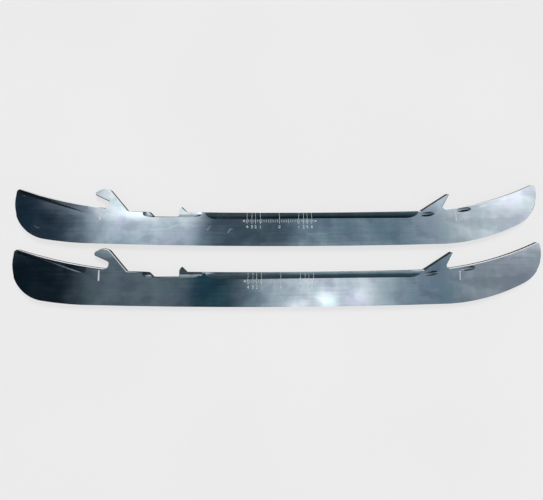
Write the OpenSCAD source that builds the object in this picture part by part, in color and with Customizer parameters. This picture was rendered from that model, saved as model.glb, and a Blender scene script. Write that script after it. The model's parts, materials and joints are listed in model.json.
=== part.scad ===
// A pair of ice hockey skate runners, the steel blades that hook into the holders of two skates.
// They lie on their sides, heels to the left and toes to the right, as they would on a bench.
// Each runner is one plate: x runs along it from the centre mark to the toe, y rises from the
// skating edge to the holder side, and z is its thickness.

/* [Plate] */
// Thickness of the steel
thickness = 3; // [2.6:0.1:4]
// Height from the skating edge to the saddle, at the centre mark
blade_h = 18.3; // [15:0.1:21]
// Length from the centre mark to the end of the toe
toe_reach = 142; // [134:0.5:155]
// Length from the centre mark to the end of the heel
heel_reach = 146; // [138:0.5:160]

/* [Skating edge] */
// Radius of the rocker, the long curve that meets the ice
rocker_r = 3350; // [2400:50:4800]
// Radius of the hollow ground along the rocker
hollow_r = 12.7; // [9:0.1:26]
// Depth that the hollow takes off at the two edges
grind = 0.03; // [0.02:0.01:0.1]
// Length past the rocker at each end in which the wheel leaves the steel
hollow_run_out = 12; // [8:1:20]
// Radius of the curve that lifts the rocker to the toe
toe_r = 105; // [80:1:130]
// Slope at which that curve gives way to the tip
toe_turn = 26.5; // [20:0.5:34]
// Radius of the tip of the toe
tip_r = 18.9; // [16:0.1:23]
// Radius of the curve that lifts the rocker to the heel
heel_r = 195; // [120:5:280]
// Slope at which that curve gives way to the heel's end
heel_turn = 9.2; // [7:0.1:14]
// Radius of the heel's end
heel_end_r = 20.5; // [18:0.1:24]

/* [Toe edge] */
// Height of the corner of the toe
toe_h = 34.2; // [31:0.1:37]
// Radius that rounds that corner
toe_corner_r = 1.2; // [0.5:0.1:2]
// Radius of the hollow curve from the corner to the front barb
toe_edge_r = 165; // [120:5:300]

/* [Front barb] */
// Distance from the centre mark to the foot of the barb
barb_foot = 77.5; // [70:0.1:82]
// Distance from the centre mark to the bottom of the barb's throat
barb_throat = 89; // [86:0.1:92]
// Height of the bottom of the throat
barb_throat_h = 19.9; // [18.5:0.1:21]
// Distance from the centre mark to the point of the barb, before it is rounded
barb_tip = 94.7; // [92:0.1:98]
// Height of that point
barb_tip_h = 29.9; // [26:0.1:32]
// Radius that rounds the point
barb_tip_r = 0.6; // [0.3:0.1:0.9]
// Radius of the throat
barb_throat_r = 1.3; // [0.8:0.1:1.8]
// Radius at the foot
barb_foot_r = 1.5; // [0.5:0.1:4]

/* [Rear hook] */
// Distance from the centre mark to the end of the hook's throat
hook_x = 93.8; // [88:0.1:100]
// Height of the floor of the throat
throat_h = 20.7; // [19:0.1:22]
// Height of the end of the throat
throat_gap = 3.9; // [3.4:0.1:5]
// Radius between the floor and the end of the throat
throat_r = 2.3; // [1:0.1:2.8]
// Radius between the end of the throat and the underside of the hook
throat_top_r = 0.8; // [0.4:0.1:1.2]
// Reach of the hook's nose over the throat, before it is rounded
nose_reach = 9.5; // [8:0.1:11]
// Height of the nose
nose_h = 28.9; // [27.5:0.1:30]
// Radius of the nose
nose_r = 1.3; // [0.8:0.1:1.8]
// Height of the crown of the hook
crown_h = 32.1; // [31.5:0.1:35]
// Reach of the crown over the throat
crown_reach = 3.4; // [2:0.1:4.5]
// Radius of the crown
crown_r = 4; // [2:0.1:6]
// Drop from the crown to the shoulder above the front slope
shoulder_drop = 1.2; // [0.5:0.1:2]
// Radius of the shoulder
shoulder_r = 3; // [1.5:0.1:5]
// Width of the hook at its root
root_w = 10.3; // [9:0.1:12]
// Angle of the front slope
hook_rake = 49.2; // [45:0.1:55]
// Radius where the front slope meets the ledge
root_r = 0.8; // [0.4:0.1:2]

/* [Ledge, notch and tooth] */
// Height of the ledge at the hook
ledge_h = 19.35; // [18.5:0.05:20]
// Length of the ledge
ledge_l = 12.1; // [9:0.1:16]
// Fall of the ledge along its length
ledge_fall = 0.6; // [0:0.05:1.2]
// Radius at the end of the ledge
ledge_r = 2.4; // [1:0.1:3]
// Height of the floor of the notch
notch_h = 16.2; // [15:0.1:17]
// Length of the floor of the notch
notch_l = 13.8; // [11:0.1:17]
// Radius in the corners of the notch
notch_r = 1.2; // [0.6:0.1:1.5]
// Height of the point of the tooth
tooth_h = 21.7; // [20.6:0.1:23]
// Height of the upright side of the tooth above the notch
tooth_wall = 3.4; // [2.6:0.1:4]
// Lean of the tooth's point past its upright side
tooth_lean = 1.1; // [0.6:0.1:1.6]
// Radius of the point
tooth_r = 0.5; // [0.3:0.1:0.8]

/* [Heel edge] */
// Height of the corner of the heel
heel_h = 31.8; // [29.5:0.1:34]
// Radius that rounds that corner
heel_corner_r = 1.6; // [0.5:0.1:2.2]
// Radius of the hollow curve from the corner to the rear hook
heel_edge_r = 260; // [180:5:400]

/* [Relief ground into both faces] */
// Radius of the grinding wheel
wheel_r = 50; // [35:1:80]
// Width of the wheel
wheel_w = 16; // [15:0.5:20]
// Radius that rounds the rim of the wheel for the saddle
saddle_rim_r = 14; // [9:0.5:20]
// Radius that rounds the rim of the wheel for the ledge, the heel and the dips
short_rim_r = 5; // [4:0.5:9]
// Depth of the pass along the saddle
saddle_pass = 0.45; // [0.3:0.05:0.6]
// Depth of the pass along the ledge and the tooth
ledge_pass = 0.3; // [0.2:0.05:0.45]
// Depth of the two dips, where the wheel touches at the foot of the barb and ahead of its throat
toe_dip = 0.15; // [0.1:0.01:0.2]
// Depth of the pass along the heel edge, at the corner of the heel
heel_pass = 0.38; // [0.2:0.02:0.46]
// Depth of that pass at its end
heel_pass_end = 0.004; // [0.002:0.001:0.02]
// Width of the saddle pass at its start, from the level of the centre mark down
saddle_band = 3.5; // [2.5:0.1:4.5]
// Slope of the saddle pass, which follows the rise of the saddle towards the toe
saddle_pass_slope = 0.35; // [0:0.05:0.6]
// Distance from the foot of the tooth to the start of the saddle pass
saddle_pass_in = 17; // [12:0.5:25]
// Distance from the end of the saddle pass to the foot of the barb
saddle_pass_short = 8; // [6:0.5:14]
// Depth of the ledge pass below the floor of the notch
ledge_band = 0.3; // [0.2:0.1:0.6]
// Distance from the end of the ledge to the start of the ledge pass
ledge_pass_in = 1.9; // [0:0.1:4]
// Distance that the ledge pass runs on from the foot of the tooth
ledge_pass_past = 3; // [1:0.5:12]
// Height from the line on which the dips lie to the throat of the barb
toe_band = 1.5; // [0.8:0.05:2.2]
// Distance from the throat of the barb back to the dip at its foot
barb_dip_at = 7.7; // [6:0.1:9]
// Distance from the throat of the barb to the dip ahead of it
toe_dip_at = 12.6; // [10:0.1:15]
// Slope of that line
toe_slope = 7.2; // [5:0.1:9]
// Width of the heel pass at the corner of the heel
heel_band = 3; // [2.4:0.1:3.8]
// Distance from the corner of the heel to the start of the heel pass
heel_pass_in = 2.5; // [1.5:0.1:4]
// Length of the heel pass
heel_pass_l = 36; // [24:0.5:40]
// Slope of the heel pass
heel_pass_slope = 15.8; // [14:0.1:17.5]

/* [The pair] */
// Clearance from the crown of the right runner's hook to the level of the left runner's edge
pair_gap = 0.3; // [0:0.1:30]
// Distance that the left runner lies behind the right one
pair_stagger = 0.75; // [-5:0.05:5]
// Turn of the right runner against the left one
pair_turn = 0.3; // [-0.5:0.05:0.6]

/* [Hidden] */

// Largest distance between a round stretch of the outline and its chords
arc_tol = 0.005;
// Steel takes this colour where it reflects a pale room
steel = [0.62, 0.68, 0.72];
// Room that a cut is given past the steel
clear = 1;
// Lift of a flat cut over the lowest line of a round one, so that the two cross
lift = 0.01;
// Turn of the wheel that is drawn at each end of a pass, enough to leave the steel
wheel_turn = 30;

rocker_c = [0, rocker_r];
saddle_r = rocker_r - blade_h;

function unit(v) = v / norm(v);
function polar(r, a) = r * [cos(a), sin(a)];
function xy(p) = [p.x, p.y];
function mirrored(pts) = [for (i = [len(pts) - 1:-1:0]) [-pts[i].x, pts[i].y, pts[i].z]];

// Round stretches: an arc by its centre, first angle and turn, and a hollow arc from a to b
function chords(r, turn) = max(1, ceil(abs(turn) / (2 * acos(1 - min(0.5, arc_tol / r)))));
function arc(c, r, from, turn) =
    let (n = chords(r, turn))
    [for (i = [0:n]) c + polar(r, from + turn * i / n)];
function hollow_arc(a, b, r) =
    let (half = asin(norm(b - a) / (2 * r)), d = unit(b - a))
    let (c = (a + b) / 2 + r * cos(half) * [d.y, -d.x], v = a - c)
    arc(c, r, atan2(v.y, v.x), -2 * half);

// Corners: a point [x, y, r] of a closed path is rounded with radius r, or less where its
// two sides are too short for that
function corner_r(p) = len(p) > 2 && !is_undef(p.z) ? p.z : 0;
function half_angle(a, p, b) = acos(max(-1, min(1, unit(a - p) * unit(b - p)))) / 2;
function turn_in(path, i) =
    let (n = len(path), p = path[i], r = corner_r(p))
    r == 0 ? 0 : r / tan(half_angle(xy(path[(i + n - 1) % n]), xy(p), xy(path[(i + 1) % n])));
function corner(path, i) =
    let (n = len(path), before = (i + n - 1) % n, after = (i + 1) % n)
    let (a = xy(path[before]), p = xy(path[i]), b = xy(path[after]), l = turn_in(path, i))
    l == 0 ? [p] :
    let (room_a = norm(a - p) / (l + turn_in(path, before)))
    let (room_b = norm(b - p) / (l + turn_in(path, after)))
    let (half = half_angle(a, p, b), side = l * min(1, 0.98 * room_a, 0.98 * room_b))
    let (r = side * tan(half), c = p + unit(unit(a - p) + unit(b - p)) * r / sin(half))
    let (v = p + unit(a - p) * side - c)
    arc(c, r, atan2(v.y, v.x), (180 - 2 * half) * sign(cross(p - a, b - p)));
function rounded(path) = [for (i = [0:len(path) - 1]) each corner(path, i)];

// An end of the runner rises from the rocker on one radius and closes on a smaller one.
// Both touch their neighbours, and the end reaches the given length from the centre mark.
function end_start(reach, r, turn, end_r) =
    asin((reach - end_r - (r - end_r) * sin(turn)) / (rocker_r - r));
function rise_c(start, r) = rocker_c + polar(rocker_r - r, start - 90);
function end_curve(start, r, turn, end_r, h, h_r) =
    let (c = rise_c(start, r), end_c = c + polar(r - end_r, turn - 90))
    let (top = acos((end_c.y - h) / end_r), room = 2 * h_r / end_r * 180 / PI)
    concat(
        arc(c, r, start - 90, turn - start),
        arc(end_c, end_r, turn - 90, top - room - turn),
        [[each end_c + polar(end_r, top - 90), h_r]]
    );
toe_start = end_start(toe_reach, toe_r, toe_turn, tip_r);
heel_start = end_start(heel_reach, heel_r, heel_turn, heel_end_r);
toe_end = end_curve(toe_start, toe_r, toe_turn, tip_r, toe_h, toe_corner_r);
heel_end = mirrored(end_curve(heel_start, heel_r, heel_turn, heel_end_r, heel_h, heel_corner_r));
toe_corner = xy(toe_end[len(toe_end) - 1]);
heel_corner = xy(heel_end[0]);

// The saddle, which seats in the holder, runs along the rocker at the height of the blade
function saddle_y(x) = rocker_r - sqrt(saddle_r * saddle_r - x * x);
function saddle_arc(from, to) =
    let (a = asin(from / saddle_r), b = asin(to / saddle_r))
    arc(rocker_c, saddle_r, a - 90, b - a);

barb_throat_p = [barb_throat, barb_throat_h];
barb = [
    [each barb_throat_p, barb_throat_r],
    [barb_tip, barb_tip_h, barb_tip_r],
    [barb_foot, saddle_y(barb_foot), barb_foot_r]
];

// From the hook towards the toe: the root of the hook, the ledge, the notch and the tooth
root_x = root_w - hook_x;
ledge_end = [root_x + ledge_l, ledge_h - ledge_fall];
notch_from = ledge_end.x + ledge_end.y - notch_h;
notch_to = notch_from + notch_l;
tooth_tip = [notch_to + tooth_lean, tooth_h];
tooth_foot = tooth_tip.x + tooth_h - saddle_y(tooth_tip.x);
tooth_notch_and_ledge = [
    [each tooth_tip, tooth_r],
    [notch_to, notch_h + tooth_wall, tooth_r],
    [notch_to, notch_h, notch_r],
    [notch_from, notch_h, notch_r],
    [each ledge_end, ledge_r]
];

shoulder_h = crown_h - shoulder_drop;
throat_p = [-hook_x, throat_h];
hook = [
    [root_x, ledge_h, root_r],
    [root_x - (shoulder_h - ledge_h) / tan(hook_rake), shoulder_h, shoulder_r],
    [-hook_x - crown_reach, crown_h, crown_r],
    [-hook_x - nose_reach, nose_h, nose_r],
    [-hook_x, throat_h + throat_gap, throat_top_r],
    [each throat_p, throat_r]
];

function inner(pts) = [for (i = [1:len(pts) - 2]) pts[i]];
outline = rounded(concat(
    inner(arc(rocker_c, rocker_r, -90 - heel_start, heel_start + toe_start)),
    toe_end,
    inner(hollow_arc(toe_corner, barb_throat_p, toe_edge_r)),
    barb,
    inner(saddle_arc(barb_foot, tooth_foot)),
    [[tooth_foot, saddle_y(tooth_foot)]],
    tooth_notch_and_ledge,
    hook,
    inner(hollow_arc(throat_p, heel_corner, heel_edge_r)),
    heel_end
));

// Place of the two runners on the bench, with the middle of the pair at the origin
function turned(p, a) = [p.x * cos(a) - p.y * sin(a), p.x * sin(a) + p.y * cos(a)];
left_at = [-pair_stagger, crown_h + pair_gap];
lying = concat(
    [for (p = outline) p + left_at],
    [for (p = outline) turned(p, pair_turn)]
);
function middle(v) = (min(v) + max(v)) / 2;
pair_c = [middle([for (p = lying) p.x]), middle([for (p = lying) p.y])];

// The rim of a dressed wheel hollows the skating edge and leaves an edge along each face
module hollow() {
    rim = sqrt(pow(hollow_r, 2) - pow(thickness / 2, 2));
    past = hollow_run_out / rocker_r * 180 / PI;
    translate([each rocker_c, thickness / 2])
    rotate_extrude(angle = heel_start + toe_start + 2 * past, start = -90 - heel_start - past, $fn = 7200)
    intersection() {
        translate([rocker_r - grind + rim, 0]) circle(hollow_r, $fn = 96);
        translate([rocker_r - clear, -thickness / 2 - clear]) square([2 * clear, thickness + 2 * clear]);
    }
}

// The rim of a grinding wheel that reaches the given depth, drawn from its lowest point up: round,
// and in a pass straight on the holder side
module round_rim(r) {
    translate([0, r]) circle(r, $fn = 180);
}
module rim(depth, r) {
    intersection() {
        union() {
            round_rim(r);
            translate([0, lift]) square([wheel_w, r]);
        }
        translate([-r, -clear]) square([r + wheel_w + clear, depth + 2 * clear]);
    }
}

// The wheel is let down at one point of the upper face, runs straight to another and is lifted
// out. It leaves a cove between the two points and a flat floor on the holder side of it.
function cove_w(depth, r) = sqrt(depth * (2 * r - depth));
module relief_pass(from, to, depth, end_depth, r) {
    side = unit([from.y - to.y, to.x - from.x]);
    start = [each from + cove_w(depth, r) * side, thickness - depth];
    way = [each to + cove_w(end_depth, r) * side, thickness - end_depth] - start;
    run = norm(way);
    module wheel(at) {
        translate([at, 0, wheel_r]) rotate([-90, 0, 0])
        rotate_extrude(angle = wheel_turn, start = 90 - (at == 0 ? 0 : wheel_turn), $fn = 720)
        translate([wheel_r, 0]) rotate(90) rim(depth, r);
    }
    translate(start) rotate([0, -asin(way.z / run), atan2(way.y, way.x)]) {
        wheel(0);
        rotate([90, 0, 90]) linear_extrude(run) rim(depth, r);
        wheel(run);
    }
}

// Where the wheel only touches the upper face, it leaves its round print
module dip(at) {
    translate([each at, thickness - toe_dip + wheel_r]) rotate(toe_slope) rotate([-90, 0, 0])
    rotate_extrude(angle = 2 * wheel_turn, start = 90 - wheel_turn, $fn = 720)
    translate([wheel_r, 0]) rotate(90) intersection() {
        round_rim(short_rim_r);
        translate([-short_rim_r, -clear]) square([2 * short_rim_r, toe_dip + 2 * clear]);
    }
}
module dipped(at) {
    difference() {
        children();
        dip(at);
        translate([0, 0, thickness]) mirror([0, 0, 1]) dip(at);
    }
}

// The same pass is ground into both faces
module ground(from, to, depth, end_depth, r) {
    difference() {
        children();
        relief_pass(from, to, depth, end_depth, r);
        translate([0, 0, thickness]) mirror([0, 0, 1]) relief_pass(from, to, depth, end_depth, r);
    }
}

saddle_line = blade_h - saddle_band;
saddle_from = [tooth_foot + saddle_pass_in, saddle_line];
saddle_end = barb_foot - saddle_pass_short;
saddle_to = [saddle_end, saddle_line + (saddle_end - saddle_from.x) * tan(saddle_pass_slope)];
ledge_line = notch_h - ledge_band;
ledge_from = [ledge_end.x + ledge_pass_in, ledge_line];
ledge_to = [tooth_foot + ledge_pass_past, ledge_line];
toe_line = barb_throat_p - [0, toe_band];
barb_dip = toe_line - polar(barb_dip_at, toe_slope);
throat_dip = toe_line + polar(toe_dip_at, toe_slope);
heel_from = heel_corner + [heel_pass_in, -heel_band];
heel_to = heel_from + polar(heel_pass_l, -heel_pass_slope);

// A blank of plate steel, with its edge hollowed and the relief ground along its holder side
module runner() {
    ground(saddle_from, saddle_to, saddle_pass, saddle_pass, saddle_rim_r)
    ground(ledge_from, ledge_to, ledge_pass, ledge_pass, short_rim_r)
    dipped(barb_dip)
    dipped(throat_dip)
    ground(heel_from, heel_to, heel_pass, heel_pass_end, short_rim_r)
    difference() {
        linear_extrude(thickness) polygon(outline);
        hollow();
    }
}

module left_runner() {
    color(steel) translate(left_at - pair_c) runner();
}

module right_runner() {
    color(steel) translate(-pair_c) rotate(pair_turn) runner();
}

left_runner();
right_runner();
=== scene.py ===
"""A pair of ice hockey skate runners on a white table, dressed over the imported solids."""

import json
import logging
import math
from dataclasses import dataclass, field
from enum import Enum

import bpy
from mathutils import Matrix, Vector


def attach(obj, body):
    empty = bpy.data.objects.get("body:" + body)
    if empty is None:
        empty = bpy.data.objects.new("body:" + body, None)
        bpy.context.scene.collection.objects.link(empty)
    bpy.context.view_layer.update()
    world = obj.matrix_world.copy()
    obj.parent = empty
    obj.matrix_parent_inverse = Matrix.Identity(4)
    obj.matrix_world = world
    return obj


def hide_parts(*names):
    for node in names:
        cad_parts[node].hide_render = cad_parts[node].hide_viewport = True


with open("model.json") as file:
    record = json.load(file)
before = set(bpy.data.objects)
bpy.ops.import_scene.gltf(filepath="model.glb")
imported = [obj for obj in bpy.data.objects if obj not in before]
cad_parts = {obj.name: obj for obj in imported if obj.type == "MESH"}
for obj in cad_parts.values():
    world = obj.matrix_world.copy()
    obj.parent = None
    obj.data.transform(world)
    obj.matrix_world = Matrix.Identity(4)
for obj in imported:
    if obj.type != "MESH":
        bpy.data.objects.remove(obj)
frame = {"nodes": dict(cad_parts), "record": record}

log = logging.getLogger("runners")
MM = 0.001
# Distance in metres within which two points are one
SAME = 1e-6
# The plate's thickness in millimetres
THICKNESS = 3.0
# Decimals of a millimetre that tell where a stroke of the wheel starts and ends
DECIMALS = 3
# Slope overhead at which the cards that the left runner reflects give way to the right runner's
ROWS = -0.045

Colour = tuple[float, float, float]
Scale = tuple[float, float, float]
Span = tuple[float, float]
Socket = bpy.types.NodeSocket
Material = bpy.types.Material
Thing = bpy.types.Object


class Surface(Enum):
    """The surfaces of a runner, in the order of its material slots."""

    FACE = 0
    RELIEF = 1
    # The broken edges' steel is painted pale: painted highlight besides what the chamfer reflects
    EDGE_BREAK = 2
    # The cut rim's steel, painted near black: partly painted shade
    CUT_EDGE = 3
    SKATING_EDGE = 4
    ETCHED = 5
    # Relief painted darker in some stretches: painted shade
    TOUCHED = 6


class Solver(Enum):
    """Ways to take a cutter out: for parts that keep apart, and for parts that cross."""

    APART = "MANIFOLD"
    CROSSING = "EXACT"


class Graph:
    """A node tree that is wired up step by step."""

    def __init__(self, tree: bpy.types.NodeTree) -> None:
        """Clears the tree.

        Args:
            tree: The node tree of a material or of the world.
        """
        self.tree = tree
        tree.nodes.clear()

    def node(
        self, kind: str, inputs: dict[str, object] | None = None, **settings: object
    ) -> bpy.types.Node:
        """Adds a node.

        Args:
            kind: The node's type, without the prefix of shader nodes.
            inputs: Sockets and values to feed it, by the names of its inputs.
            settings: Properties to set on it.

        Returns:
            The new node.
        """
        made = self.tree.nodes.new(f"ShaderNode{kind}")
        for name, value in settings.items():
            setattr(made, name, value)
        for name, value in (inputs or {}).items():
            self.feed(made.inputs[name], value)
        return made

    def feed(self, socket: Socket, value: object) -> None:
        """Links an input to another socket, or sets it to a plain value.

        Args:
            socket: The input.
            value: The socket that feeds it, or the value.
        """
        if isinstance(value, Socket):
            self.tree.links.new(value, socket)
        else:
            socket.default_value = value

    def show(self, shader: bpy.types.Node) -> None:
        """Makes a shader the one that a material shows."""
        self.feed(self.node("OutputMaterial").inputs[0], shader.outputs[0])

    def maths(self, operation: str, a: object, b: object = 0.0, clamp: bool = False) -> Socket:
        """Adds a Math node.

        Args:
            operation: The node's operation.
            a: First value or socket.
            b: Second value or socket.
            clamp: Whether the result is kept between 0 and 1.

        Returns:
            The result's socket.
        """
        made = self.node("Math", operation=operation, use_clamp=clamp)
        self.feed(made.inputs[0], a)
        self.feed(made.inputs[1], b)
        return made.outputs[0]

    def plus(self, total: object, value: object, share: float) -> Socket:
        """Adds a share of a value to a total."""
        return self.maths("ADD", total, self.maths("MULTIPLY", value, share))

    def step(
        self, value: object, low: float, high: float, to_low: float = 0.0, to_high: float = 1.0
    ) -> Socket:
        """Adds a smooth step from one level to another.

        Args:
            value: The socket to read.
            low: Where the step begins.
            high: Where it ends.
            to_low: Level before it.
            to_high: Level after it.

        Returns:
            The result's socket.
        """
        made = self.node("MapRange", interpolation_type="SMOOTHSTEP")
        for i, v in enumerate((value, low, high, to_low, to_high)):
            self.feed(made.inputs[i], v)
        return made.outputs[0]

    def blend(self, amount: object, a: object, b: object) -> Socket:
        """Adds a colour mix.

        Args:
            amount: Share of the second colour.
            a: First colour.
            b: Second colour.

        Returns:
            The mixed colour's socket.
        """
        made = self.node("Mix", data_type="RGBA")
        self.feed(made.inputs[0], amount)
        sockets = [socket for socket in made.inputs if socket.type == "RGBA"]
        for socket, value in zip(sockets, (a, b)):
            self.feed(socket, (*value, 1.0) if isinstance(value, tuple) else value)
        return next(socket for socket in made.outputs if socket.type == "RGBA")

    def noise(self, place: Socket, scale: Scale, detail: float = 2.0) -> Socket:
        """Adds a noise that is stretched along the axes.

        Args:
            place: Coordinates in metres.
            scale: Features per metre along x, y and z.
            detail: Octaves of finer noise.

        Returns:
            The noise's value socket.
        """
        stretched = self.node("Mapping", {"Vector": place, "Scale": scale}).outputs[0]
        inputs = {"Vector": stretched, "Scale": 1.0, "Detail": detail}
        return self.node("TexNoise", inputs).outputs[0]


def started(name: str) -> tuple[Material, Graph, Socket]:
    """Starts a material.

    Args:
        name: Its name.

    Returns:
        The material, its graph and the coordinates on the object that wears it.
    """
    made = bpy.data.materials.new(name)
    made.use_nodes = True
    g = Graph(made.node_tree)
    return made, g, g.node("TexCoord").outputs["Object"]


@dataclass(frozen=True)
class Rub:
    """A pale mark left by use, as a soft ellipse on the upper face."""

    x: float
    y: float
    length: float
    width: float
    turn: float
    depth: float
    dulled: float = 0.45


@dataclass(frozen=True)
class Place:
    """Where a runner lies: its centre mark on the skating edge, and its turn on the bench."""

    x: float
    y: float
    turn: float

    def matrix(self) -> Matrix:
        """Gives the runner's own frame as a matrix."""
        return Matrix.Translation((self.x, self.y, 0)) @ Matrix.Rotation(self.turn, 4, "Z")

    def point(self, x: float, y: float, z: float) -> Vector:
        """Turns a point of the runner, in millimetres, into one of the pair, in metres."""
        return self.matrix() @ Vector((x * MM, y * MM, z * MM))


@dataclass(frozen=True)
class GroundSteel:
    """Stainless steel, ground along its length and rubbed by use."""

    name: str
    tint: Colour = (0.54, 0.62, 0.68)
    pale: Colour = (0.76, 0.82, 0.86)
    roughness: float = 0.055
    grain: float = 0.03
    smear: float = 0.035
    wave: float = 0.18
    swipe: float = 0.35
    stain: float = 0.0
    # Patches of film that stain it: features per metre, and colour
    films: tuple[tuple[Scale, Colour], ...] = (
        ((42, 60, 20), (0.62, 0.58, 0.76)),
        ((58, 75, 30), (0.42, 0.60, 0.60)),
        ((85, 120, 50), (0.30, 0.37, 0.42)),
    )
    # Noises of the grind and the wear: features per metre
    fine: Scale = (45, 4200, 900)
    coarse: Scale = (14, 900, 300)
    clouds: Scale = (70, 55, 40)
    wipes: Scale = (120, 22, 10)
    # Levels of a noise between which its effect sets in
    streak_at: Span = (0.4, 0.6)
    grain_at: Span = (0.35, 0.65)
    haze_at: Span = (0.42, 0.62)
    wipe_at: Span = (0.42, 0.6)
    film_at: Span = (0.46, 0.64)
    fine_share: float = 0.45
    streak_tone: float = 0.3
    haze_tone: float = 0.35
    ripple: float = 2e-6
    rub_reach: float = 2.0
    rub_border: float = 0.7
    rubs: tuple[Rub, ...] = ()

    def material(self, place: Place) -> Material:
        """Makes the material.

        Args:
            place: Where the runner lies, so that its marks stay on it.

        Returns:
            The material.
        """
        made, g, bench = started(self.name)
        spot = {"Vector": bench, "Location": (place.x, place.y, 0), "Rotation": (0, 0, place.turn)}
        here = g.node("Mapping", spot, vector_type="TEXTURE").outputs[0]
        coarse = g.noise(here, self.coarse, 2)
        fine = g.maths("MULTIPLY", g.noise(here, self.fine, 3), self.fine_share)
        streak = g.plus(fine, coarse, 1 - self.fine_share)
        haze = g.step(g.noise(here, self.clouds, 3), *self.haze_at)
        wipe = g.step(g.noise(here, self.wipes, 2), *self.wipe_at)
        worn, dull = self._worn(g, here)
        tone = g.maths("MULTIPLY", g.step(streak, *self.streak_at), self.streak_tone)
        tone = g.plus(tone, haze, self.haze_tone)
        tone = g.plus(tone, wipe, self.swipe)
        colour = g.blend(g.maths("ADD", tone, worn, clamp=True), self.tint, self.pale)
        if self.stain:
            colour = self._stained(g, here, colour)
        rough = g.plus(self.roughness, g.step(streak, *self.grain_at), self.grain)
        rough = g.plus(rough, haze, self.smear)
        rough = g.maths("ADD", rough, dull, clamp=True)
        waves = {"Strength": self.wave, "Distance": self.ripple, "Height": coarse}
        bump = g.node("Bump", waves).outputs[0]
        look = {"Metallic": 1.0, "Base Color": colour, "Roughness": rough, "Normal": bump}
        g.show(g.node("BsdfPrincipled", look))
        return made

    def _stained(self, g: Graph, here: Socket, colour: Socket) -> Socket:
        """Lays patches of a thin, coloured film over the steel.

        Args:
            g: The material's graph.
            here: Coordinates on the runner.
            colour: The clean steel's colour.

        Returns:
            The stained colour's socket.
        """
        for scale, hue in self.films:
            patch = g.step(g.noise(here, scale, 3), *self.film_at)
            colour = g.blend(g.maths("MULTIPLY", patch, self.stain), colour, hue)
        return colour

    def _worn(self, g: Graph, here: Socket) -> tuple[object, object]:
        """Adds up the rubbed marks.

        Args:
            g: The material's graph.
            here: Coordinates on the runner.

        Returns:
            How pale and how dull they make the steel, each a socket or 0 where there are no marks.
        """
        pale: object = 0.0
        dull: object = 0.0
        for rub in self.rubs:
            spot = {
                "Vector": here,
                "Location": Vector((rub.x, rub.y, THICKNESS)) * MM,
                "Rotation": (0, 0, math.radians(rub.turn)),
                "Scale": Vector((rub.length / 2, rub.width / 2, self.rub_reach)) * MM,
            }
            laid = g.node("Mapping", spot, vector_type="TEXTURE").outputs[0]
            ball = g.node("TexGradient", {"Vector": laid}, gradient_type="SPHERICAL")
            mark = g.step(ball.outputs[1], 0.0, self.rub_border, 0.0, rub.depth)
            pale = g.maths("ADD", pale, mark)
            dull = g.plus(dull, mark, rub.dulled)
        return pale, dull


@dataclass(frozen=True)
class CutSteelAndShade:
    """The plate's rim: rough cut steel painted near black, partly painted shade along the walls,
    with marks across its thickness.
    """

    name: str = "cut_steel_and_shade"
    dark: Colour = (0.012, 0.014, 0.015)
    light: Colour = (0.04, 0.043, 0.045)
    roughness: float = 0.65
    uneven: float = 0.1
    shine: float = 0.1
    marks: Scale = (2200, 2200, 120)
    light_at: Span = (0.35, 0.65)
    rough_at: Span = (0.3, 0.7)

    def material(self) -> Material:
        """Makes the material.

        Returns:
            The material.
        """
        made, g, here = started(self.name)
        marks = g.noise(here, self.marks, 3)
        colour = g.blend(g.step(marks, *self.light_at), self.dark, self.light)
        low, high = self.roughness - self.uneven, self.roughness + self.uneven
        rough = g.step(marks, *self.rough_at, low, high)
        look = {"Base Color": colour, "Roughness": rough, "Specular IOR Level": self.shine}
        g.show(g.node("BsdfPrincipled", look))
        return made


@dataclass(frozen=True)
class EtchedMark:
    """The frosted floor of an engraved line."""

    name: str = "etched_mark"
    colour: Colour = (0.86, 0.86, 0.84)
    thin: Colour = (0.66, 0.68, 0.67)
    roughness: float = 0.62
    frost: Scale = (1500, 1500, 1500)
    thin_at: Span = (0.4, 0.6)

    def material(self) -> Material:
        """Makes the material.

        Returns:
            The material.
        """
        made, g, here = started(self.name)
        frost = g.step(g.noise(here, self.frost, 2), *self.thin_at)
        colour = g.blend(frost, self.thin, self.colour)
        look = {"Base Color": colour, "Roughness": self.roughness}
        g.show(g.node("BsdfPrincipled", look))
        return made


@dataclass(frozen=True)
class TableTop:
    """A smooth white table, with the faintest unevenness."""

    name: str = "table_top"
    colour: Colour = (0.895, 0.89, 0.89)
    shade: Colour = (0.88, 0.875, 0.875)
    glow: float = 0.78
    roughness: float = 0.6
    shine: float = 0.15
    drift: Scale = (9, 9, 9)
    drift_at: Span = (0.3, 0.7)

    def material(self) -> Material:
        """Makes the material.

        Returns:
            The material.
        """
        made, g, here = started(self.name)
        drift = g.step(g.noise(here, self.drift, 1), *self.drift_at)
        colour = g.blend(drift, self.shade, self.colour)
        look = {"Base Color": colour, "Roughness": self.roughness, "Specular IOR Level": self.shine}
        shader = g.node("BsdfPrincipled", look)
        white = g.node("Emission", {"Color": colour})
        ray = g.node("LightPath").outputs
        seen = g.maths("ADD", ray["Is Camera Ray"], ray["Is Glossy Ray"])
        seen = g.maths("ADD", seen, ray["Is Transmission Ray"], clamp=True)
        mixed = g.node("MixShader")
        g.feed(mixed.inputs[0], g.maths("MULTIPLY", seen, self.glow))
        g.feed(mixed.inputs[1], shader.outputs[0])
        g.feed(mixed.inputs[2], white.outputs[0])
        g.show(mixed)
        return made


def switch(mode: str) -> None:
    """Switches the active object to a mode."""
    bpy.ops.object.mode_set(mode=mode)


def deselect() -> None:
    """Leaves edit mode and deselects everything."""
    if bpy.context.object is not None and bpy.context.object.mode != "OBJECT":
        switch("OBJECT")
    bpy.ops.object.select_all(action="DESELECT")


def pick(thing: Thing) -> None:
    """Selects one object alone and makes it active.

    Args:
        thing: The object.
    """
    deselect()
    thing.select_set(True)
    bpy.context.view_layer.objects.active = thing


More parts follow.
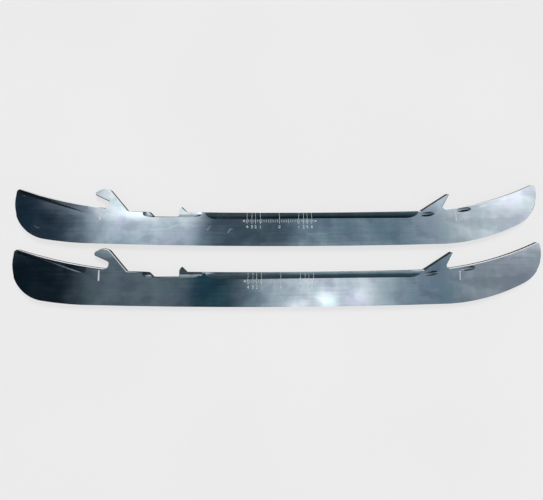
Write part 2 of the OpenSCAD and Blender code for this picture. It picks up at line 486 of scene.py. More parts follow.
def apply_place(thing: Thing) -> None:
    """Puts an object's place, turn and size into its mesh."""
    pick(thing)
    bpy.ops.object.transform_apply(location=True, rotation=True, scale=True)


def face_outwards() -> None:
    """Turns every face of the mesh in edit mode outwards, and leaves edit mode."""
    bpy.ops.mesh.select_all(action="SELECT")
    bpy.ops.mesh.normals_make_consistent(inside=False)
    switch("OBJECT")


def within(along: float, spans: tuple[Span, ...]) -> bool:
    """Tells whether a distance along the runner lies in one of the spans."""
    return any(low < along < high for low, high in spans)


def cove_w(depth: float, rim: float) -> float:
    """Gives the width of the cove that a wheel's rim leaves at a depth."""
    return math.sqrt(max(depth, 0.0) * (2 * rim - depth))


def join(things: list[Thing], name: str) -> Thing:
    """Joins meshes into one.

    Args:
        things: The meshes.
        name: Name of the result.

    Returns:
        The joined object.
    """
    deselect()
    for thing in things:
        thing.select_set(True)
    bpy.context.view_layer.objects.active = things[0]
    bpy.ops.object.join()
    things[0].name = name
    return things[0]


def drawn(points: list[Vector]) -> Thing:
    """Draws a closed outline by extruding a point, and fills it.

    Args:
        points: The outline's corners, in metres.

    Returns:
        The new object, in edit mode with the filled outline selected.
    """
    deselect()
    bpy.ops.mesh.primitive_plane_add(size=MM)
    made = bpy.context.object
    switch("EDIT")
    bpy.ops.mesh.select_mode(type="VERT")
    bpy.ops.mesh.merge(type="CENTER")
    bpy.ops.transform.translate(value=points[0])
    for here, there in zip(points, points[1:]):
        bpy.ops.mesh.extrude_vertices_move(TRANSFORM_OT_translate={"value": there - here})
    bpy.ops.mesh.select_all(action="SELECT")
    bpy.ops.mesh.edge_face_add()
    return made


@dataclass(frozen=True)
class Cove:
    """The saddle's relief across the runner: round up to the face and flat at the top edge."""

    line: float = 15.0
    depth: float = 0.45
    rim: float = 14.0
    points: int = 5

    def profile(self, top: float) -> list[Span]:
        """Follows the relief from its lower border to the top edge.

        Args:
            top: Height at which to stop.

        Returns:
            Pairs of a height on the runner and a depth below the face.
        """
        width = cove_w(self.depth, self.rim)
        steps = [width * i / self.points for i in range(self.points + 1)]
        drops = [self.depth - self.rim + math.sqrt(self.rim**2 - (width - u) ** 2) for u in steps]
        return [(self.line + u, d) for u, d in zip(steps, drops)] + [(top, self.depth)]


@dataclass
class Engraving:
    """The marks engraved into the upper face: a scale at the middle and a line at each end."""

    place: Place
    cove: Cove = field(default_factory=Cove)
    depth: float = 0.04
    line_w: float = 0.15
    tick_w: float = 0.19
    scale_half: float = 19.0
    scale_y: float = 13.75
    tick_h: float = 1.4
    long_tick_h: float = 2.0
    long_every: int = 5
    line_x: tuple[float, ...] = (-17.7, -15.1, -13.1, -10.5, 0.0, 10.6, 13.2, 15.2, 17.7)
    digits: str = "432101234"
    line_low: float = 12.1
    line_top: float = 18.9
    digit_h: float = 1.7
    digit_y: float = 9.8
    # Share of the text's size that a digit is high, its added weight, curve steps and merging
    digit_share: float = 0.7
    digit_weight: float = 0.04
    digit_steps: int = 3
    digit_merge: float = 1e-7
    dot_r: float = 0.42
    dot_gap: float = 0.1
    dot_sides: int = 20
    dot_x: tuple[float, ...] = (-19.6, 19.9)
    # End lines: place along the runner, lower end, height of the dot, and width
    heel_line: tuple[float, float, float, float] = (-98.5, 14.4, 19.7, 0.8)
    toe_line: tuple[float, float, float, float] = (97.0, 13.8, 18.2, 0.5)

    def tool(self, name: str) -> Thing:
        """Builds the marks as one cutter.

        Args:
            name: Name of the cutter.

        Returns:
            The cutter, placed on the runner.
        """
        long_line = [(self.line_low, 0.0), *self.cove.profile(self.line_top)]
        parts = [self._bar(x, long_line, self.line_w) for x in self.line_x]
        parts += [self._number(digit, x) for digit, x in zip(self.digits, self.line_x)]
        for x in range(-int(self.scale_half), int(self.scale_half) + 1):
            half = (self.tick_h if x % self.long_every else self.long_tick_h) / 2
            course = self._flat(self.scale_y - half, self.scale_y + half)
            parts.append(self._bar(x, course, self.tick_w))
        parts += [self._dot(x, self.scale_y) for x in self.dot_x]
        for x, low, top, width in (self.heel_line, self.toe_line):
            parts.append(self._bar(x, self._flat(low, top - self.dot_r - self.dot_gap), width))
            parts.append(self._dot(x, top))
        return join(parts, name)

    def _flat(self, low: float, top: float) -> list[Span]:
        """Gives the course of a line that stays on the face."""
        return [(low, 0.0), (top, 0.0)]

    def _bar(self, x: float, course: list[Span], width: float) -> Thing:
        """Makes an upright line that cuts to an even depth along its course.

        Args:
            x: Its middle along the runner.
            course: Heights on the runner, each with the drop of the surface below the face.
            width: Its width.

        Returns:
            The line's cutter.
        """
        low, top = course[0][0], course[-1][0]
        outline = [(y, THICKNESS - drop - self.depth) for y, drop in course]
        outline += [(top, THICKNESS + self.depth), (low, THICKNESS + self.depth)]
        made = drawn([Vector(((x - width / 2) * MM, y * MM, z * MM)) for y, z in outline])
        bpy.ops.mesh.extrude_region_move(TRANSFORM_OT_translate={"value": (width * MM, 0, 0)})
        face_outwards()
        made.matrix_world = self.place.matrix()
        apply_place(made)
        return made

    def _dot(self, x: float, y: float) -> Thing:
        """Makes a round dot.

        Args:
            x: Its place along the runner.
            y: Its height above the skating edge.

        Returns:
            The dot's cutter.
        """
        deselect()
        bpy.ops.mesh.primitive_cylinder_add(
            vertices=self.dot_sides, radius=self.dot_r * MM, depth=2 * self.depth * MM
        )
        made = bpy.context.object
        made.location = self.place.point(x, y, THICKNESS)
        apply_place(made)
        return made

    def _number(self, digits: str, x: float) -> Thing:
        """Makes a plain number under the scale.

        Args:
            digits: The number.
            x: Its middle along the runner.

        Returns:
            The number's cutter.
        """
        deselect()
        bpy.ops.object.text_add()
        made = bpy.context.object
        made.data.body = digits
        made.data.size = self.digit_h * MM / self.digit_share
        made.data.align_x = "CENTER"
        made.data.extrude = self.depth * MM
        made.data.resolution_u = self.digit_steps
        made.data.offset = self.digit_weight * MM
        pick(made)
        bpy.ops.object.convert(target="MESH")
        made = bpy.context.object
        switch("EDIT")
        bpy.ops.mesh.select_all(action="SELECT")
        bpy.ops.mesh.remove_doubles(threshold=self.digit_merge)
        face_outwards()
        spot = Vector((x, self.digit_y, THICKNESS)) * MM
        made.matrix_world = self.place.matrix() @ Matrix.Translation(spot)
        apply_place(made)
        return made


@dataclass(frozen=True)
class Stroke:
    """A straight pass of the wheel over the upper face, or its touch at one spot."""

    start: Span
    end: Span
    depth: float
    end_depth: float
    rim: float
    flat: bool = True


def snapped(x: float, y: float) -> Span:
    """Gives a spot of the face in millimetres, to the micrometre."""
    return round(x, DECIMALS), round(y, DECIMALS)


def towards(start: Span, length: float, slope: float) -> Span:
    """Gives the spot at a distance from another, along a slope in degrees."""
    turn = math.radians(slope)
    return snapped(start[0] + length * math.cos(turn), start[1] + length * math.sin(turn))


@dataclass(frozen=True)
class Grind:
    """The strokes that relieve a runner, laid out from the forms that they run along."""

    # Forms of the outline: heights over the skating edge, places from the centre mark
    blade_h: float = 18.3
    notch_h: float = 16.2
    ledge_end: float = -71.4
    tooth_foot: float = -50.987
    barb_foot: float = 77.5
    barb_throat: Span = (89.0, 19.9)
    heel_corner: Span = (-144.561, 31.8)
    # Rims of the two wheels
    saddle_rim: float = 14.0
    short_rim: float = 5.0
    # The saddle's pass
    saddle_depth: float = 0.45
    saddle_band: float = 3.5
    saddle_in: float = 17.0
    saddle_short: float = 8.0
    saddle_slope: float = 0.35
    # The ledge's pass
    ledge_depth: float = 0.3
    ledge_band: float = 0.3
    ledge_in: float = 1.9
    ledge_past: float = 3.0
    # The heel's pass, which runs out over the face
    heel_depth: float = 0.38
    heel_over: float = 0.01
    heel_band: float = 3.0
    heel_in: float = 2.5
    heel_length: float = 37.34
    heel_slope: float = -15.8
    # The two touches beside the barb's throat
    dip_depth: float = 0.15
    dip_band: float = 1.5
    dip_at: Span = (-7.7, 12.6)
    dip_slope: float = 7.2

    def strokes(self) -> tuple[Stroke, ...]:
        """Lays out the strokes.

        Returns:
            The passes of the saddle, the ledge and the heel, and the two touches.
        """
        saddle = snapped(self.tooth_foot + self.saddle_in, self.blade_h - self.saddle_band)
        length = self.barb_foot - self.saddle_short - saddle[0]
        rise = length * math.tan(math.radians(self.saddle_slope))
        saddle_end = snapped(saddle[0] + length, saddle[1] + rise)
        ledge = snapped(self.ledge_end + self.ledge_in, self.notch_h - self.ledge_band)
        ledge_end = snapped(self.tooth_foot + self.ledge_past, ledge[1])
        heel = snapped(self.heel_corner[0] + self.heel_in, self.heel_corner[1] - self.heel_band)
        heel_end = towards(heel, self.heel_length, self.heel_slope)
        throat = snapped(self.barb_throat[0], self.barb_throat[1] - self.dip_band)
        dips = [towards(throat, at, self.dip_slope) for at in self.dip_at]
        return (
            Stroke(saddle, saddle_end, self.saddle_depth, self.saddle_depth, self.saddle_rim),
            Stroke(ledge, ledge_end, self.ledge_depth, self.ledge_depth, self.short_rim),
            Stroke(heel, heel_end, self.heel_depth, -self.heel_over, self.short_rim),
            *(self._touch(dip) for dip in dips),
        )

    def _touch(self, at: Span) -> Stroke:
        """Gives the wheel's touch at a spot, aimed along the toe's slope."""
        aim = towards(at, 1.0, self.dip_slope)
        return Stroke(at, aim, self.dip_depth, self.dip_depth, self.short_rim, flat=False)


@dataclass(frozen=True)
class Wheel:
    """The grinding wheel of the relief, which goes over the solid's coarse coves once more."""

    radius: float = 50.0
    width: float = 16.0
    extra: float = 0.01
    over: float = 0.2
    points: int = 14
    steps: int = 12
    run_out: float = math.radians(9)

    def cutter(self, place: Place) -> Thing:
        """Builds every stroke, on both faces, as one cutter.

        Args:
            place: Where the runner lies.

        Returns:
            The cutter.
        """
        parts = []
        flip = Matrix.Translation((0, 0, THICKNESS * MM)) @ Matrix.Diagonal((1, 1, -1, 1))
        for stroke in Grind().strokes():
            made = self._stroke(stroke, place)
            pick(made)
            bpy.ops.object.duplicate()
            under = bpy.context.object
            under.matrix_world = flip
            apply_place(under)
            switch("EDIT")
            face_outwards()
            parts += [made, under]
        return join(parts, "wheel")

    def _rim(self, stroke: Stroke) -> list[Vector]:
        """Draws the rim where it enters the steel, turned back by the run-out.

        Args:
            stroke: The stroke.

        Returns:
            The outline, with its lowest point at the origin once it is turned forward.
        """
        top = stroke.depth + self.over
        reach = cove_w(top, stroke.rim)
        rounds = self.points if stroke.flat else 2 * self.points
        end = 0.0 if stroke.flat else reach
        across = [-reach + (reach + end) * i / rounds for i in range(rounds + 1)]
        outline = [(u, stroke.rim - math.sqrt(stroke.rim**2 - u**2)) for u in across]
        if stroke.flat:
            outline += [(self.width, 0.0), (self.width, top)]
        turn = Matrix.Translation((0, 0, self.radius)) @ Matrix.Rotation(self.run_out, 4, "Y")
        turn = turn @ Matrix.Translation((0, 0, -self.radius))
        return [(turn @ Vector((0, u, h))) * MM for u, h in outline]

    def _stroke(self, stroke: Stroke, place: Place) -> Thing:
        """Lets the wheel down, runs it along the stroke and lifts it out.

        Args:
            stroke: The stroke.
            place: Where the runner lies.

        Returns:
            The swept cutter.
        """
        start = Vector((*stroke.start, -stroke.depth))
        end = Vector((*stroke.end, -stroke.end_depth))
        side = Vector((start.y - end.y, end.x - start.x, 0)).normalized()
        if stroke.flat:
            start += cove_w(stroke.depth, stroke.rim) * side
            end += cove_w(stroke.end_depth, stroke.rim) * side
        way = end - start
        made = drawn(self._rim(stroke))
        self._spin(Vector((0, 0, self.radius)))
        run = way.length if stroke.flat else 0.0
        if stroke.flat:
            bpy.ops.mesh.extrude_region_move(TRANSFORM_OT_translate={"value": (run * MM, 0, 0)})
        self._spin(Vector((run, 0, self.radius)))
        face_outwards()
        turn, dive = math.atan2(way.y, way.x), -math.asin(way.z / way.length)
        aim = Matrix.Rotation(turn, 4, "Z") @ Matrix.Rotation(dive, 4, "Y")
        down = Vector((start.x, start.y, THICKNESS + start.z - self.extra)) * MM
        made.matrix_world = place.matrix() @ Matrix.Translation(down) @ aim
        apply_place(made)
        return made

    def _spin(self, hub: Vector) -> None:
        """Turns the selected outline forward around the hub by the run-out."""
        bpy.ops.mesh.spin(steps=self.steps, angle=self.run_out, center=hub * MM, axis=(0, 1, 0))


@dataclass
class Runner:
    """One runner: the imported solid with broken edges, engraved marks and finished surfaces."""

    node: str
    rubs: tuple[Rub, ...]
    # Stretches whose relief gets the darker steel: painted shade
    shaded_relief_spans: tuple[Span, ...]
    edge_break: float = 0.4
    shortest: float = 0.1
    # The saddle's mount on the runner: from the centre mark, over the skating edge
    saddle_mount: Span = (13.0, 18.32)
    # Parts of a normal that tell a wall, a face and a true flat apart, and the sides of the rim
    wall_side: float = 0.3
    face_side: float = 0.9
    flat_side: float = 0.99999
    slope_side: float = 0.3
    under_side: float = -0.2
    skating_side: float = -0.35
    skating_top: float = 19.0
    # How far a flat may lie from the plate's face, and an edge's end from it
    face_off: float = 0.004
    edge_off: float = 0.01
    # Turns below which faces are one flat, and below which they are one round surface
    flat_turn: float = 0.2
    round_turn: float = 30.0
    # Stretches along the runner: the slopes of the tooth and the barb, whose inner broken edges get
    # painted shade, and the heel's top edge, whose broken edge gets the pale painted highlight
    shaded_slope_spans: tuple[Span, ...] = ((-72.0, -47.0), (76.5, 95.5))
    heel_spans: tuple[Span, ...] = ((-143.0, -104.0),)
    shell: Thing = field(init=False)

    def place(self) -> Place:
        """Finds where the runner lies from the record's saddle mount.

        Returns:
            The place of its own frame.
        """
        side = self.node.split("_")[0]
        mount = next(m for m in frame["record"]["mounts"] if m["name"] == f"{side}_saddle")
        up = mount["axis"]
        turn = math.atan2(-up[0], up[1])
        seat = Matrix.Rotation(turn, 3, "Z") @ Vector((*self.saddle_mount, 0)) * MM
        return Place(mount["pos_m"][0] - seat.x, mount["pos_m"][1] - seat.y, turn)

    def build(self) -> Thing:
        """Builds the dressed runner over its solid.

        Returns:
            The runner's object.
        """
        self.shell = self._copy()
        wheel = Wheel().cutter(self.place())
        self._carve(wheel, Surface.RELIEF, Solver.APART)
        self._tidy_mesh()
        marks = Engraving(self.place()).tool(f"{self.node}_marks")
        self._carve(marks, Surface.ETCHED, Solver.CROSSING)
        self._break_edges()
        self._sort_faces()
        self._smooth()
        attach(self.shell, self.node)
        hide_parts(self.node)
        log.info("%s: %d faces", self.shell.name, len(self.shell.data.polygons))
        return self.shell

    def _copy(self) -> Thing:
        """Copies the solid's mesh, merges its triangles and gives it its finishes.

        Returns:
            The copy.
        """
        solid = frame["nodes"][self.node].data
        made = bpy.data.objects.new(f"{self.node}_blade", solid.copy())
        bpy.context.scene.collection.objects.link(made)
        made.data.materials.clear()
        finishes = self._finishes()
        for surface in Surface:
            made.data.materials.append(finishes[surface])
        pick(made)
        switch("EDIT")
        bpy.ops.mesh.select_all(action="SELECT")
        bpy.ops.mesh.remove_doubles(threshold=SAME)
        switch("OBJECT")
        return made

    def _finishes(self) -> dict[Surface, Material]:
        """Makes the finish of each surface.

        Returns:
            The materials by surface.
        """
        name = self.node
        steels = {
            Surface.FACE: GroundSteel(f"{name}_face", stain=0.4, rubs=self.rubs),
            Surface.RELIEF: GroundSteel(
                f"{name}_relief", roughness=0.09, grain=0.03, smear=0.02, wave=0.15
            ),
            # Painted highlight: the broken edges' steel is much paler than the face, so they show
            # as white lines
            Surface.EDGE_BREAK: GroundSteel(
                f"{name}_edge", (0.86, 0.88, 0.89), (0.94, 0.95, 0.95), roughness=0.16, wave=0.1
            ),
            Surface.SKATING_EDGE: GroundSteel(
                f"{name}_honed", roughness=0.10, grain=0.04, smear=0.02, wave=0.2
            ),
            # Painted shade: a darker copy of the relief steel for the stretches given to each
            # runner
            Surface.TOUCHED: GroundSteel(
                f"{name}_shaded_relief", (0.28, 0.33, 0.37), (0.44, 0.49, 0.53), roughness=0.08
            ),
        }
        made = {surface: steel.material(self.place()) for surface, steel in steels.items()}
        # Cut rim painted near black: partly painted shade along the walls
        made[Surface.CUT_EDGE] = CutSteelAndShade(f"{name}_cut").material()
        made[Surface.ETCHED] = EtchedMark(f"{name}_etched").material()
        return made

    def _tidy_mesh(self) -> None:
        """Joins the triangles of each flat and takes out edges too short to be broken."""
        pick(self.shell)
        switch("EDIT")
        bpy.ops.mesh.select_all(action="SELECT")
        bpy.ops.mesh.remove_doubles(threshold=SAME)
        flat = math.radians(self.flat_turn)
        bpy.ops.mesh.dissolve_limited(angle_limit=flat, delimit={"NORMAL", "MATERIAL"})
        bpy.ops.mesh.select_mode(type="FACE")
        bpy.ops.mesh.select_all(action="DESELECT")
        switch("OBJECT")
        for face in self.shell.data.polygons:
            face.select = abs(face.normal.z) < self.wall_side
        switch("EDIT")
        bpy.ops.mesh.remove_doubles(threshold=self.shortest * MM)
        bpy.ops.mesh.select_all(action="SELECT")
        bpy.ops.mesh.dissolve_degenerate(threshold=SAME)
        switch("OBJECT")

    def _break_edges(self) -> None:
        """Breaks the rim's edges, apart from the skating edge and the saddle."""
        mesh = self.shell.data
        around: dict[tuple[int, int], list[Vector]] = {}
        for face in mesh.polygons:
            if face.material_index != Surface.ETCHED.value:
                for key in face.edge_keys:
                    around.setdefault(key, []).append(face.normal.copy())
        self._deselect_edges()
        for edge in mesh.edges:
            normals = around.get(tuple(sorted(edge.vertices)), [])
            sides = sorted(normals, key=lambda n: -abs(n.z))
            ends = [mesh.vertices[v].co for v in edge.vertices]
            if len(sides) == 2 and self._is_rim(*sides):
                middle = (ends[0] + ends[1]) / 2
                edge.select = self._broken(middle, sides[1], [end.z for end in ends])
        switch("EDIT")
        bpy.ops.mesh.bevel(
            offset=self.edge_break * MM,
            segments=1,
            loop_slide=False,
            clamp_overlap=False,
            material=Surface.EDGE_BREAK.value,
        )
        switch("OBJECT")
        for vertex in mesh.vertices:
            vertex.co.z = min(max(vertex.co.z, 0.0), THICKNESS * MM)
        # Painted shade: broken edges under the hook and on the inner slopes of the tooth and the
        # barb take the near-black cut finish
        for face in mesh.polygons:
            broken = face.material_index == Surface.EDGE_BREAK.value
            if broken and self._shaded(face.center, face.normal):
                face.material_index = Surface.CUT_EDGE.value

    def _is_rim(self, face: Vector, wall: Vector) -> bool:
        """Tells whether two normals are those of a face and a wall of the plate."""
        return abs(face.z) > self.face_side and abs(wall.z) < self.wall_side

    def _deselect_edges(self) -> None:
        """Leaves the runner in edge mode with nothing selected."""
        pick(self.shell)
        switch("EDIT")
        bpy.ops.mesh.select_mode(type="EDGE")
        bpy.ops.mesh.select_all(action="DESELECT")
        switch("OBJECT")

    def _broken(self, spot: Vector, wall: Vector, heights: list[float]) -> bool:
        """Tells whether an edge between a face and the rim is broken.

        Args:
            spot: The middle of the edge.
            wall: The rim's normal there.
            heights: Heights of the edge's two ends over the table.

        Returns:
            Whether it is.
        """
        if self._meets_ice(spot, wall):
            return False
        if self._shaded(spot, wall):
            return True
        along = self._along(spot)
        level = all(self._off_face(z) < self.edge_off * MM for z in heights)
        slope = within(along, self.shaded_slope_spans) and abs(wall.x) > self.slope_side
        return (level or within(along, self.heel_spans)) and not slope

    def _off_face(self, z: float) -> float:
        """Gives the distance of a height over the table from the nearer face of the plate."""
        return min(abs(z), abs(z - THICKNESS * MM))

    def _shaded(self, spot: Vector, wall: Vector) -> bool:
        """Tells whether a spot of the rim gets painted shade: the near-black cut finish instead of
        the pale break.

        Args:
            spot: The spot.
            wall: The rim's normal there.

        Returns:
            Whether it is under the hook, or on the inner slope of the tooth or the barb.
        """
        along = self._along(spot)
        inner = wall.x * along < 0 and abs(wall.x) > self.slope_side
        return wall.y < self.under_side or within(along, self.shaded_slope_spans) and inner

    def _along(self, spot: Vector) -> float:
        """Gives a spot's distance from the centre mark along the runner."""
        return (self.place().matrix().inverted() @ spot).x / MM

    def _meets_ice(self, point: Vector, normal: Vector) -> bool:
        """Tells whether a spot of the rim belongs to the skating edge.

        Args:
            point: The spot.
            normal: The rim's normal there.

        Returns:
            Whether it faces the ice and lies low enough on the runner.
        """
        height = (self.place().matrix().inverted() @ point).y / MM
        return normal.y < self.skating_side and height < self.skating_top

    def _sort_faces(self) -> None:
        """Gives each face the surface that it belongs to."""
        for face in self.shell.data.polygons:
            kind = Surface(face.material_index)
            if kind is Surface.FACE:
                kind = self._kind(face.center, face.normal)
            # Relief in those stretches takes the darker steel: painted shade
            elif kind is Surface.RELIEF and within(self._along(face.center), self.shaded_relief_spans):
                kind = Surface.TOUCHED
            face.material_index = kind.value

    def _kind(self, spot: Vector, normal: Vector) -> Surface:
        """Tells which surface of the solid a face belongs to.

        Args:
            spot: The face's middle.
            normal: Its normal.

        Returns:
            The surface.
        """
        if abs(normal.z) > self.face_side:
            level = self._off_face(spot.z) < self.face_off * MM
            return Surface.FACE if level and abs(normal.z) > self.flat_side else Surface.RELIEF
        return Surface.SKATING_EDGE if self._meets_ice(spot, normal) else Surface.CUT_EDGE

    def _carve(self, cutter: Thing, surface: Surface, solver: Solver) -> None:
        """Takes a cutter's shape out of the runner.

        Args:
            cutter: The cutter, which is used up.
            surface: The surface that it leaves.
            solver: How it is taken out.
        """
        cutter.data.materials.clear()
        for slot in self.shell.data.materials:
            cutter.data.materials.append(slot)
        for face in cutter.data.polygons:
            face.material_index = surface.value
        pick(self.shell)
        cut = self.shell.modifiers.new("carve", "BOOLEAN")
        cut.operation = "DIFFERENCE"
        cut.solver = solver.value
        cut.use_self = solver is Solver.CROSSING
        cut.object = cutter
        bpy.ops.object.modifier_apply(modifier=cut.name)
        bpy.data.objects.remove(cutter, do_unlink=True)

    def _smooth(self) -> None:
        """Smooths the round surfaces and keeps each surface's border sharp."""
        pick(self.shell)
        bpy.ops.object.shade_smooth_by_angle(angle=math.radians(self.round_turn))
        mesh = self.shell.data
        kinds: dict[tuple[int, int], set[int]] = {}
        for face in mesh.polygons:
            for key in face.edge_keys:
                kinds.setdefault(key, set()).add(face.material_index)
        for edge in mesh.edges:
            if len(kinds.get(tuple(sorted(edge.vertices)), ())) > 1:
                edge.use_edge_sharp = True


@dataclass
class Table:
    """The white table that the pair lies on."""

    half: float = 1.5
    cuts: int = 3

    def build(self) -> Thing:
        """Builds the table top.

        Returns:
            The table's object.
        """
        deselect()
        bpy.ops.mesh.primitive_plane_add(size=2 * self.half)
        made = bpy.context.object
        made.name = "table"
        switch("EDIT")
        bpy.ops.mesh.subdivide(number_cuts=self.cuts)
        switch("OBJECT")
        made.data.materials.append(TableTop().material())
        log.info("%s", made.name)
        return made


@dataclass(frozen=True)
class Card:
    """A soft card overhead: its edges as slopes from the zenith, its softness and its light."""

    name: str
    left: float
    right: float
    near: float
    far: float
    soft: float
    light: Colour
    soft_y: float = 0.05


@dataclass
class Studio:
    """A pale room with soft cards overhead, which the steel reflects."""

    walls: Colour = (0.44, 0.46, 0.48)
    horizon: Colour = (0.94, 0.94, 0.94)
    wall_rise: Span = (0.12, 0.42)
    ceiling_border: Span = (0.55, 0.95)
    least_rise: float = 0.02
    ceiling: Colour = (0.20, 0.27, 0.32)
    key: float = 2.0
    key_spread: float = 25.0
    key_from: tuple[float, float, float] = (0.25, 1.0, 1.0)
    cards: tuple[Card, ...] = (
        Card("back_flag", -1.6, 1.6, 0.22, 1.6, 0.05, (0.012, 0.022, 0.026), 0.05),
        Card("heel_flag", -1.6, -0.51, ROWS, 0.7, 0.10, (0.016, 0.032, 0.05), 0.012),
        Card("heel_strip", -0.625, -0.475, 0.071, 0.11, 0.02, (0.15, 0.16, 0.20), 0.008),
        Card("heel_strip_end", -0.558, -0.47, 0.058, 0.094, 0.022, (0.30, 0.34, 0.40), 0.008),
        Card("hook_card", -0.487, -0.192, ROWS, 0.142, 0.06, (0.60, 0.66, 0.72), 0.02),
        Card("hook_lamp", -0.482, -0.19, 0.045, 0.144, 0.025, (1.2, 1.2, 1.2), 0.018),
        Card("notch_lamp", -0.415, -0.335, 0.046, 0.076, 0.03, (1.9, 1.9, 1.95), 0.012),
        Card("ledge_card", -0.345, -0.195, 0.16, 1.3, 0.02, (0.55, 0.57, 0.55), 0.02),
        Card("heel_back_flag", -1.6, -0.485, 0.122, 1.6, 0.02, (0.008, 0.012, 0.016), 0.012),
        Card("middle_flag", -0.188, 0.054, ROWS, 0.32, 0.037, (0.076, 0.112, 0.138), 0.012),
        Card("saddle_flag", -0.175, 0.405, 0.105, 1.6, 0.025, (0.045, 0.072, 0.082), 0.045),
        Card("saddle_back_flag", -0.175, 0.56, 0.38, 1.6, 0.025, (0.008, 0.014, 0.018), 0.10),
        Card("toe_card", 0.49, 1.6, ROWS, 0.18, 0.15, (0.85, 0.865, 0.88), 0.012),
        Card("barb_card", 0.405, 0.53, 0.066, 0.13, 0.02, (0.74, 0.80, 0.83), 0.018),
        Card("toe_lamp", 0.60, 0.705, 0.08, 0.18, 0.035, (1.5, 1.5, 1.55), 0.02),
        Card("toe_back_flag", 0.40, 0.585, 0.135, 1.6, 0.02, (0.012, 0.018, 0.022), 0.012),
        Card("low_wall", -1.6, -0.06, -0.5, ROWS, 0.05, (0.134, 0.167, 0.189), 0.012),
        Card("low_heel_flag", -1.6, -0.511, -0.5, ROWS, 0.053, (0.006, 0.0133, 0.0204), 0.012),
        Card("low_flag", -0.229, -0.10, -0.5, ROWS, 0.032, (0.0193, 0.0617, 0.082), 0.012),
        Card("lamp_card", 0.006, 0.318, -0.5, ROWS, 0.085, (0.78, 0.815, 0.847), 0.012),
        Card("low_toe_card", 0.503, 1.6, -0.225, ROWS, 0.053, (0.34, 0.365, 0.40), 0.012),
        Card("dip_flag", 0.2, 0.56, -1.6, -0.215, 0.02, (0.012, 0.018, 0.022), 0.015),
        Card("lamp", 0.125, 0.165, -0.194, -0.163, 0.015, (2.6, 2.6, 2.6), 0.012),
        Card("side_lamp", 0.215, 0.25, -0.185, -0.147, 0.02, (1.4, 1.4, 1.45), 0.014),
        Card("edge_lamp", 0.045, 0.095, -0.205, -0.183, 0.02, (1.4, 1.4, 1.4), 0.010),
    )

    def build(self) -> None:
        """Lights the room."""
        world = bpy.data.worlds.new("studio")
        world.use_nodes = True
        bpy.context.scene.world = world
        g = Graph(world.node_tree)
        split = g.node("SeparateXYZ")
        g.feed(split.inputs[0], g.node("TexCoord").outputs["Generated"])
        x, y, z = split.outputs
        rise = g.maths("MAXIMUM", z, self.least_rise)
        slope_x, slope_y = g.maths("DIVIDE", x, rise), g.maths("DIVIDE", y, rise)
        squares = [g.maths("POWER", slope, 2.0) for slope in (slope_x, slope_y)]
        far = g.maths("SQRT", g.maths("ADD", *squares))
        light: object = g.blend(g.step(z, *self.wall_rise), self.horizon, self.walls)
        light = g.blend(g.step(far, *self.ceiling_border, 1.0, 0.0), light, self.ceiling)
        for card in self.cards:
            light = g.blend(self._mask(g, card, slope_x, slope_y), light, card.light)
        shade = g.node("Background", {"Color": light, "Strength": 1.0})
        g.feed(g.node("OutputWorld").inputs[0], shade.outputs[0])
        self._key_light()
        log.info("studio: %d cards", len(self.cards))

    def _key_light(self) -> None:
        """Hangs a broad light over the holder side, which leaves a soft shadow along the edges."""
        lamp = bpy.data.lights.new("key_light", "SUN")
        lamp.energy = self.key
        lamp.angle = math.radians(self.key_spread)
        made = bpy.data.objects.new("key_light", lamp)
        bpy.context.scene.collection.objects.link(made)
        made.rotation_euler = Vector(self.key_from).to_track_quat("Z", "Y").to_euler()
        made.visible_glossy = False

    def _mask(self, g: Graph, card: Card, x: Socket, y: Socket) -> Socket:
        """Gives the soft outline of a card.

        Args:
            g: The world's graph.
            card: The card.
            x: Slope towards the toes.
            y: Slope towards the holder side.

        Returns:
            A socket that is 1 on the card and 0 off it.
        """
        spans = (
            g.step(x, card.left - card.soft, card.left + card.soft),
            g.step(x, card.right - card.soft, card.right + card.soft, 1.0, 0.0),
            g.step(y, card.near - card.soft_y, card.near + card.soft_y),
            g.step(y, card.far - card.soft_y, card.far + card.soft_y, 1.0, 0.0),
        )
        both = g.maths("MULTIPLY", spans[0], spans[1])
        return g.maths("MULTIPLY", both, g.maths("MULTIPLY", spans[2], spans[3]))


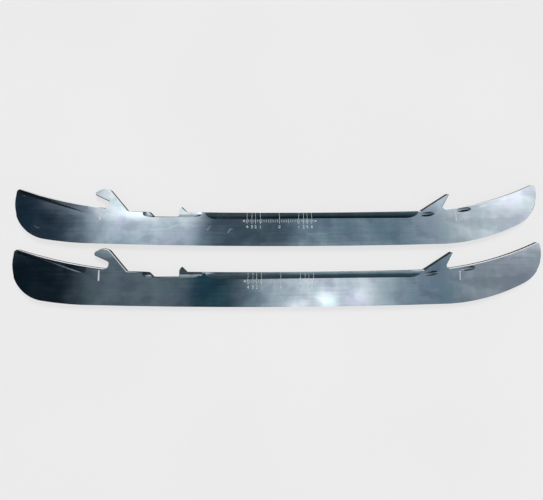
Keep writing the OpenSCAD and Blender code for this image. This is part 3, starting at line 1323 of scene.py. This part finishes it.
@dataclass
class PhotoCamera:
    """A camera over the middle of the pair, tilted a little towards the holder side."""

    focal_px: float = 366.0
    image_w: float = 543.0
    image_h: float = 500.0
    axis_y: float = 199.43
    sensor: float = 36.0
    sees: Span = (0.01, 20.0)
    tilt: float = 5.442
    roll: float = -0.03
    at: tuple[float, float, float] = (-2.65, 5.841, 203.938)

    def build(self) -> Thing:
        """Makes the camera and gives it to the scene.

        Returns:
            The camera's object.
        """
        lens = bpy.data.cameras.new("camera")
        lens.sensor_width = self.sensor
        lens.lens = self.focal_px * self.sensor / self.image_w
        lens.shift_y = (self.axis_y - self.image_h / 2) / self.image_w
        lens.clip_start, lens.clip_end = self.sees
        made = bpy.data.objects.new("camera", lens)
        bpy.context.scene.collection.objects.link(made)
        made.location = Vector(self.at) * MM
        made.rotation_euler = (math.radians(self.tilt), 0, math.radians(self.roll))
        bpy.context.scene.camera = made
        log.info("camera: %.1f mm", lens.lens)
        return made


LEFT_RUBS = (
    Rub(-67.5, 9.1, 13.0, 1.2, 3, 0.8, 0.05),
    Rub(-58.5, 10.6, 9.5, 1.4, 23, 1.0, 0.05),
    Rub(-49.0, 11.4, 12.5, 1.1, -14, 0.6, 0.05),
    Rub(-38.8, 9.7, 4.0, 0.9, 45, 0.55),
    Rub(-27.6, 8.3, 4.6, 1.3, 55, 0.45),
    Rub(-26.4, 9.3, 3.2, 0.9, 5, 0.4),
    Rub(20.6, 6.6, 13.5, 0.9, 2, 0.7),
    Rub(-133.0, 10.5, 6.0, 0.6, -25, 0.4),
    Rub(-140.6, 28.0, 3.0, 1.2, 60, 0.25),
    Rub(112.0, 22.0, 6.5, 2.2, 12, 1.0, 0.02),
)
RIGHT_RUBS = (
    Rub(-60.0, 7.0, 9.0, 1.4, 20, 0.25),
    Rub(83.0, 8.5, 7.0, 3.0, 0, 0.2),
)
# Stretches along a runner whose relief gets a darker copy of the steel: painted shade
TOE_DIPS = (77.0, 107.0)
HEEL_PASS = (-145.0, -100.0)
LEDGE_PASS = (-76.0, -41.0)


def main() -> None:
    """Builds the camera, the studio, the table and the two runners."""
    logging.basicConfig(level=logging.INFO, format="%(name)s: %(message)s")
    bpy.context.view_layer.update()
    bpy.context.scene.view_settings.view_transform = "Standard"
    PhotoCamera().build()
    Studio().build()
    Table().build()
    left = Runner("left_runner", LEFT_RUBS, (TOE_DIPS,))
    right = Runner("right_runner", RIGHT_RUBS, (TOE_DIPS, HEEL_PASS, LEDGE_PASS))
    for runner in (left, right):
        runner.build()
    deselect()


if __name__ == "__main__":
    main()
